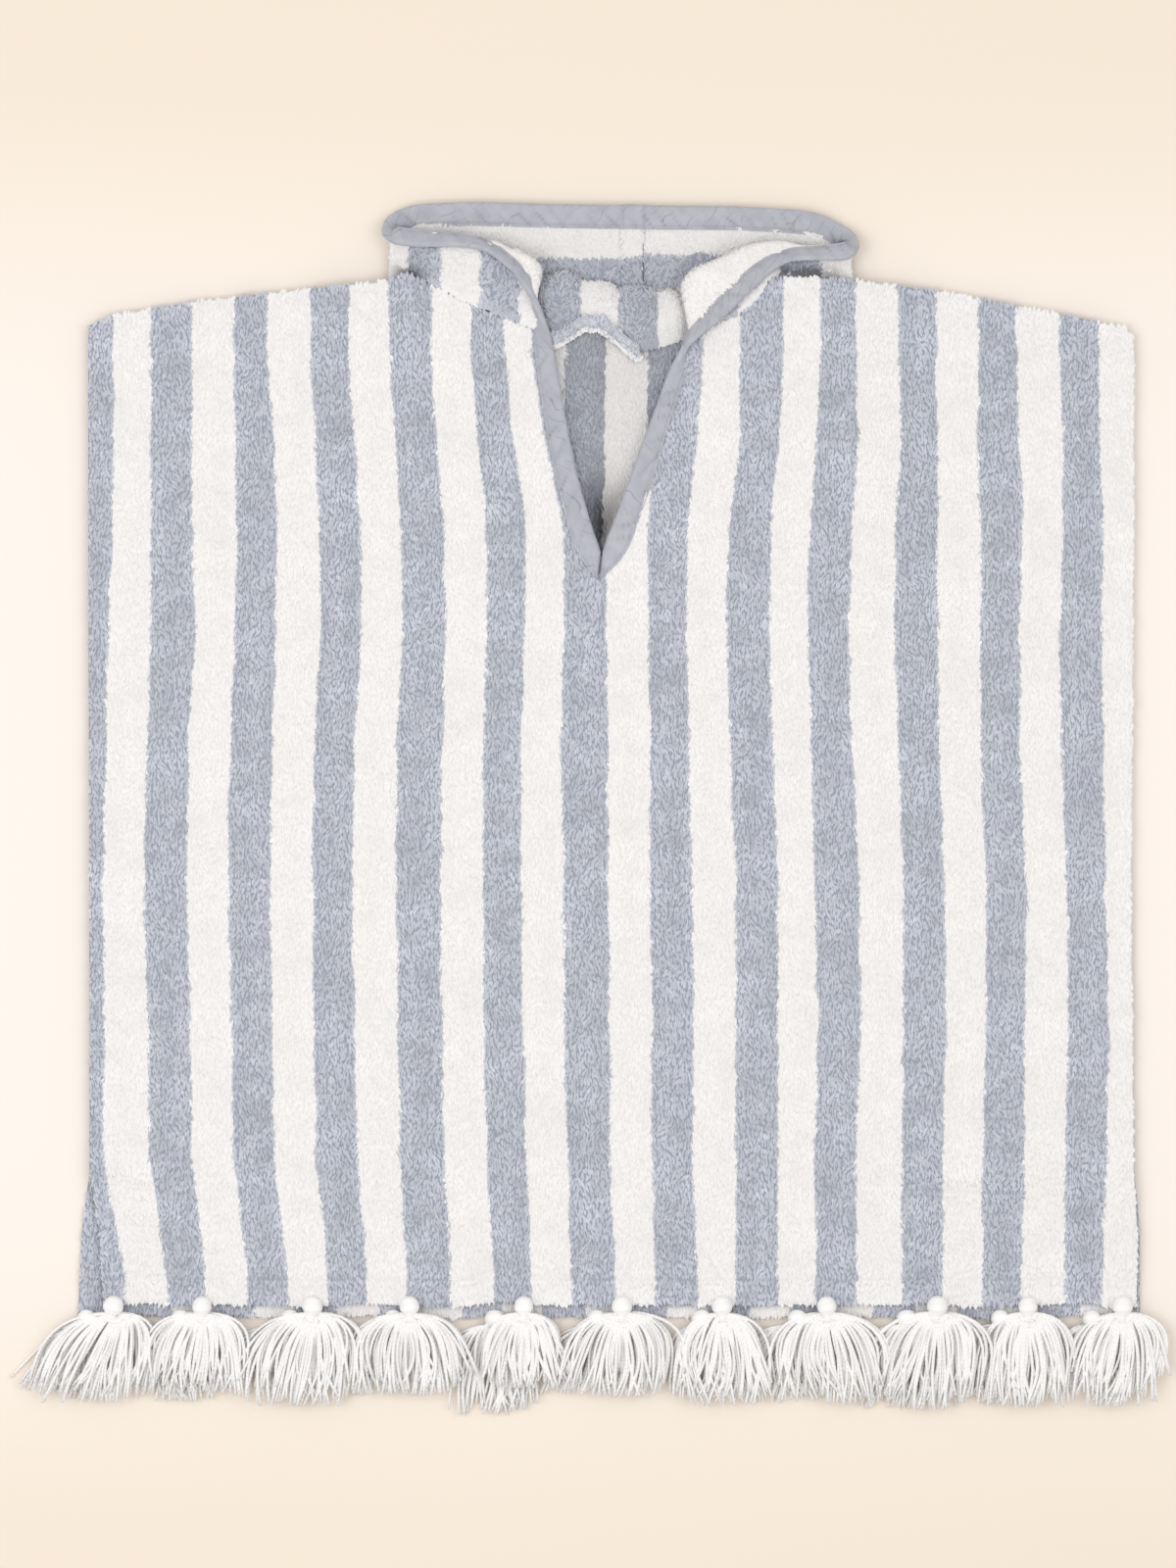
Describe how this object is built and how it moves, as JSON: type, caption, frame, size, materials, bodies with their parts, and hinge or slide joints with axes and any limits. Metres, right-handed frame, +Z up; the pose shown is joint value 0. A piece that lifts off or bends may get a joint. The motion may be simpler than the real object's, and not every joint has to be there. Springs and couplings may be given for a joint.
{
  "type": "hooded toddler bath poncho",
  "caption": "Child's hooded towelling poncho laid flat, with wide stripes, a taped V neck and hood edge, a thrown-back hood, side slits and yarn tassels along both hems.",
  "frame": {"origin": "under the middle of the whole outline, on the table the poncho lies on", "axes": "+Z up off the table, out of the front of the poncho; +Y from the hems to the hood; +X to the right as it lies face up"},
  "size_m": [0.6424, 0.6976, 0.0231],
  "materials": {
    "striped_terry": "looped cotton pile in wide grey-blue and white stripes",
    "binding_tape": "plain woven bias tape, slightly puckered along its stitching",
    "nape_band": "overlocked terry seam allowance, turned over",
    "tassel_yarn": "loose soft cotton yarn, tied at the head"
  },
  "bodies": {
    "root": {"back_panel": "striped_terry", "front_panel": "striped_terry", "hood_bag": "striped_terry", "hood_crown_left": "striped_terry", "hood_crown_right": "striped_terry", "hood_side_left": "striped_terry", "hood_side_right": "striped_terry", "hood_nape_roll": "striped_terry", "nape_band": "nape_band", "binding_neck_left": "binding_tape", "binding_neck_right": "binding_tape", "binding_hood_left": "binding_tape", "binding_hood_right": "binding_tape", "binding_crown": "binding_tape", "tassel_back_01": "tassel_yarn", "tassel_back_02": "tassel_yarn", "tassel_back_03": "tassel_yarn", "tassel_back_04": "tassel_yarn", "tassel_back_05": "tassel_yarn", "tassel_back_06": "tassel_yarn", "tassel_back_07": "tassel_yarn", "tassel_back_08": "tassel_yarn", "tassel_back_09": "tassel_yarn", "tassel_back_10": "tassel_yarn", "tassel_back_11": "tassel_yarn", "tassel_front_01": "tassel_yarn", "tassel_front_02": "tassel_yarn", "tassel_front_03": "tassel_yarn", "tassel_front_04": "tassel_yarn", "tassel_front_05": "tassel_yarn", "tassel_front_06": "tassel_yarn", "tassel_front_07": "tassel_yarn", "tassel_front_08": "tassel_yarn", "tassel_front_09": "tassel_yarn", "tassel_front_10": "tassel_yarn", "tassel_front_11": "tassel_yarn"}
  },
  "joints": []
}
